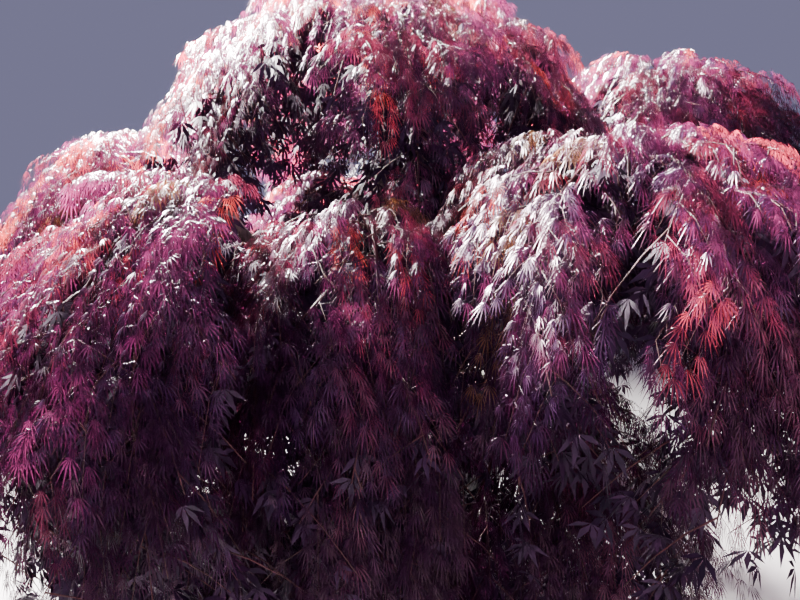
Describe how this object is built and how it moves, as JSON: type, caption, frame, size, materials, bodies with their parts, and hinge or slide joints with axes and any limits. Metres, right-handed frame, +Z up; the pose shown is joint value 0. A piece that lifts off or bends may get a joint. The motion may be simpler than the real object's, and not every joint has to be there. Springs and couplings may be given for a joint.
{
  "type": "potted japanese maple",
  "caption": "Weeping lace-leaved Japanese maple in tiers of hanging dark red foliage, in a plain round pot of soil.",
  "frame": {"origin": "centre of the pot's flat underside, on the ground", "axes": "+Z up, -Y towards the viewer of the picture, +X to the viewer's right"},
  "size_m": [3.2006, 2.8388, 2.114],
  "materials": {
    "pot": "matt, faintly mottled",
    "soil": "rough, with bark mulch",
    "bark": "rough grey-brown bark",
    "foliage": "satin dark red leaves"
  },
  "bodies": {
    "root": {"back_bough": "bark", "back_foliage_1": "foliage", "back_foliage_2": "foliage", "back_foliage_3": "foliage", "back_foliage_4": "foliage", "crown_bough": "bark", "crown_foliage_1": "foliage", "crown_foliage_2": "foliage", "crown_foliage_3": "foliage", "crown_foliage_4": "foliage", "crown_foliage_5": "foliage", "crown_foliage_6": "foliage", "crown_foliage_7": "foliage", "front_left_bough": "bark", "front_left_foliage_1": "foliage", "front_left_foliage_2": "foliage", "front_left_foliage_3": "foliage", "front_lobe_bough": "bark", "front_lobe_foliage_1": "foliage", "front_lobe_foliage_2": "foliage", "front_lobe_foliage_3": "foliage", "front_lobe_foliage_4": "foliage", "front_lobe_foliage_5": "foliage", "front_middle_bough": "bark", "front_middle_foliage_1": "foliage", "front_middle_foliage_2": "foliage", "left_shoulder_bough": "bark", "left_shoulder_foliage_1": "foliage", "left_shoulder_foliage_2": "foliage", "left_shoulder_foliage_3": "foliage", "left_shoulder_foliage_4": "foliage", "pot": "pot", "right_back_bough": "bark", "right_back_foliage_1": "foliage", "right_back_foliage_2": "foliage", "right_back_foliage_3": "foliage", "right_back_foliage_4": "foliage", "right_back_foliage_5": "foliage", "skirt_front_bough": "bark", "skirt_front_foliage_1": "foliage", "skirt_front_foliage_2": "foliage", "skirt_front_foliage_3": "foliage", "skirt_left_back_bough": "bark", "skirt_left_back_foliage_1": "foliage", "skirt_left_back_foliage_2": "foliage", "skirt_left_back_foliage_3": "foliage", "skirt_left_front_bough": "bark", "skirt_left_front_foliage_1": "foliage", "skirt_left_front_foliage_2": "foliage", "skirt_left_front_foliage_3": "foliage", "skirt_right_back_bough": "bark", "skirt_right_back_foliage_1": "foliage", "skirt_right_back_foliage_2": "foliage", "skirt_right_back_foliage_3": "foliage", "skirt_right_front_bough": "bark", "skirt_right_front_foliage_1": "foliage", "skirt_right_front_foliage_2": "foliage", "skirt_right_front_foliage_3": "foliage", "soil": "soil", "trunk": "bark"}
  },
  "joints": []
}
